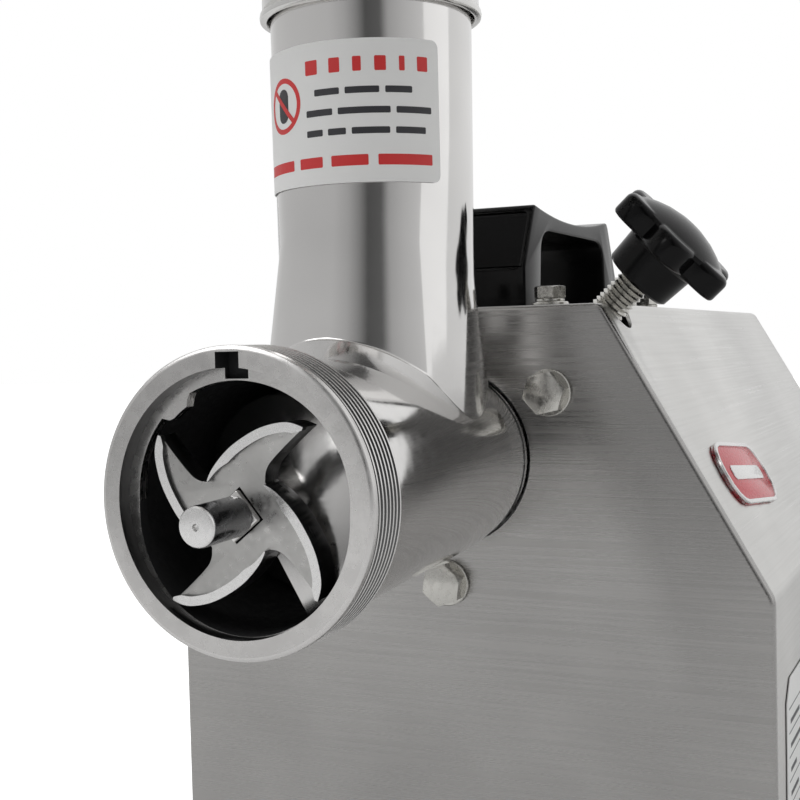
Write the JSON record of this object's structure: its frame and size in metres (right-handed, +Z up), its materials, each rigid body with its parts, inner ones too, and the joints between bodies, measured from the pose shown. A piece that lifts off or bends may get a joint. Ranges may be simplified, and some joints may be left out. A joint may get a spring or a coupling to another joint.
{
  "type": "electric meat grinder",
  "caption": "Bench meat grinder: steel cabinet with a geared motor, clamped-on grinding head with worm and four-armed knife, feed tube and loading tray.",
  "frame": {"origin": "on the table, under the centre of the whole machine's box", "axes": "+Z up, -Y the way the mouth faces, +X to the right of someone facing the mouth"},
  "size_m": [0.3, 0.4462, 0.428],
  "materials": {
    "brushed_steel": "brushed, satin",
    "polished_steel": "polished",
    "cut_steel": "ground, satin",
    "zinc_steel": "zinc plated",
    "gear_steel": "machined, oiled",
    "cast_aluminium": "as cast",
    "motor_iron": "painted, satin",
    "black_plastic": "moulded, semi-gloss",
    "grey_plastic": "moulded, satin",
    "rubber": "matte",
    "red_plastic": "moulded, gloss",
    "green_plastic": "moulded, gloss",
    "label": "printed film",
    "nylon": "machined"
  },
  "bodies": {
    "machine": {"housing_shell": "brushed_steel", "front_plate": "brushed_steel", "rear_cover": "brushed_steel", "base_plate": "zinc_steel", "foot_front_left": "rubber", "foot_rear_left": "rubber", "foot_front_right": "rubber", "foot_rear_right": "rubber", "front_bolt_1": "zinc_steel", "front_bolt_2": "zinc_steel", "front_bolt_3": "zinc_steel", "top_bolt_1": "zinc_steel", "top_bolt_2": "zinc_steel", "handle_bolt_1": "zinc_steel", "handle_bolt_2": "zinc_steel", "rear_screw_1": "zinc_steel", "rear_screw_2": "zinc_steel", "rear_screw_3": "zinc_steel", "rear_screw_4": "zinc_steel", "carry_handle": "black_plastic", "bearing_output_front": "gear_steel", "bearing_output_rear": "gear_steel", "bearing_lay_front": "gear_steel", "bearing_lay_rear": "gear_steel", "gearbox_case": "cast_aluminium", "gearbox_cover": "cast_aluminium", "shaft_seal": "rubber", "motor_front_bell": "cast_aluminium", "motor_stator": "motor_iron", "motor_rear_bell": "cast_aluminium", "fan_cowl": "motor_iron", "run_capacitor": "grey_plastic", "switch_panel": "grey_plastic", "power_inlet": "black_plastic", "badge_plate": "red_plastic", "side_label": "label"},
    "output_drive": {"output_shaft": "gear_steel", "output_gear": "gear_steel"},
    "lay_drive": {"lay_shaft": "gear_steel", "lay_gear": "gear_steel"},
    "motor_drive": {"motor_rotor": "motor_iron", "motor_pinion": "gear_steel", "cooling_fan": "grey_plastic"},
    "grinding_head": {"head_casting": "polished_steel", "worm_bush": "nylon", "tube_sticker": "label"},
    "worm_assembly": {"worm": "polished_steel", "worm_pin": "cut_steel", "knife": "cut_steel"},
    "loading_tray": {"tray": "polished_steel"},
    "clamp_carrier": {"clamp_pad": "gear_steel"},
    "clamp_screw": {"clamp_knob": "black_plastic", "clamp_stud": "zinc_steel"},
    "start_key": {"start_button": "green_plastic"},
    "stop_key": {"stop_button": "red_plastic"},
    "reset_key": {"reset_button": "black_plastic"},
    "reverse_key": {"reverse_rocker": "black_plastic"}
  },
  "joints": [
    {"name": "output_spin", "type": "hinge", "parent": "machine", "child": "output_drive", "pos_m": [0, 0, 0.19], "axis": [0, 1, 0], "continuous": true},
    {"name": "lay_spin", "type": "hinge", "parent": "machine", "child": "lay_drive", "pos_m": [-0.03465, 0, 0.14101], "axis": [0, 1, 0], "continuous": true},
    {"name": "motor_spin", "type": "hinge", "parent": "machine", "child": "motor_drive", "pos_m": [0, 0, 0.11], "axis": [0, 1, 0], "continuous": true},
    {"name": "head_slide", "type": "slide", "parent": "machine", "child": "grinding_head", "axis": [0, -1, 0], "range_m": [0, 0.05]},
    {"name": "worm_spin", "type": "hinge", "parent": "grinding_head", "child": "worm_assembly", "pos_m": [0, -0.06715, 0.19], "axis": [0, 0.9997, 0.0236], "continuous": true},
    {"name": "tray_lift", "type": "slide", "parent": "grinding_head", "child": "loading_tray", "axis": [0, 0, 1], "range_m": [0, 0.06]},
    {"name": "clamp_advance", "type": "slide", "parent": "machine", "child": "clamp_carrier", "axis": [0.7314, 0, 0.682], "range_m": [0, 0.0035]},
    {"name": "clamp_turn", "type": "hinge", "parent": "clamp_carrier", "child": "clamp_screw", "pos_m": [0, -0.04715, 0.19], "axis": [0.7314, 0, 0.682], "range_deg": [0, 720]},
    {"name": "start_press", "type": "slide", "parent": "machine", "child": "start_key", "axis": [-1, 0, 0], "range_m": [0, 0.003], "stiffness_N_per_m": 400},
    {"name": "stop_press", "type": "slide", "parent": "machine", "child": "stop_key", "axis": [-1, 0, 0], "range_m": [0, 0.003], "stiffness_N_per_m": 400},
    {"name": "reset_press", "type": "slide", "parent": "machine", "child": "reset_key", "axis": [-1, 0, 0], "range_m": [0, 0.003], "stiffness_N_per_m": 400},
    {"name": "reverse_tilt", "type": "hinge", "parent": "machine", "child": "reverse_key", "pos_m": [0.1099, 0.17615, 0.082], "axis": [0, 1, 0], "range_deg": [-10, 10]}
  ],
  "couplings": [
    {"joint": "lay_spin", "follows": "output_spin", "ratio": -2.3333},
    {"joint": "motor_spin", "follows": "output_spin", "ratio": 8},
    {"joint": "worm_spin", "follows": "output_spin", "ratio": 1},
    {"joint": "clamp_turn", "follows": "clamp_advance", "rad_per_m": 3590.4}
  ]
}
